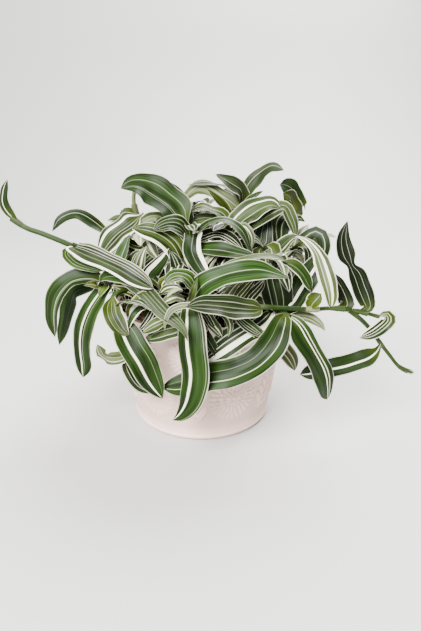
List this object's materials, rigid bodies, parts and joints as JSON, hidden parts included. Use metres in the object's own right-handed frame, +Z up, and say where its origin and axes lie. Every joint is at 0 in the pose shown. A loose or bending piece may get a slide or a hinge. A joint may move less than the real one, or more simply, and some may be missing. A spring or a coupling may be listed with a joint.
{
  "type": "potted plant",
  "caption": "Trailing house plant with long white-striped leaves on arching shoots, in a round tapered ceramic pot with a flat base.",
  "frame": {"origin": "on the pot's axis, at the underside of its flat base", "axes": "+Z up, the side that the picture shows faces -Y, +X to that viewer's right"},
  "size_m": [0.3367, 0.261, 0.2202],
  "materials": {
    "ceramic": "matte bone white",
    "soil": "crumbly peat, matte",
    "leaf": "satin green leaf with white stripes",
    "runner": "satin yellow-green stem"
  },
  "bodies": {
    "root": {"pot": "ceramic", "soil": "soil", "shoot_front": "leaf", "shoot_front_left": "leaf", "shoot_left_front": "leaf", "shoot_left": "leaf", "shoot_lower_right": "leaf", "shoot_right_front": "leaf", "shoot_right_low": "leaf", "shoot_right": "leaf", "shoot_top_left": "leaf", "shoot_upper_left": "leaf", "shoot_arch_left": "leaf", "shoot_centre": "leaf", "shoot_top": "leaf", "shoot_back_right": "leaf", "shoot_back_middle": "leaf", "shoot_back_low": "leaf", "shoot_back_left": "leaf", "shoot_back_right_low": "leaf", "shoot_side_left": "leaf", "shoot_side_right": "leaf", "shoot_crown": "leaf", "runner_left": "runner", "runner_right": "runner"}
  },
  "joints": []
}
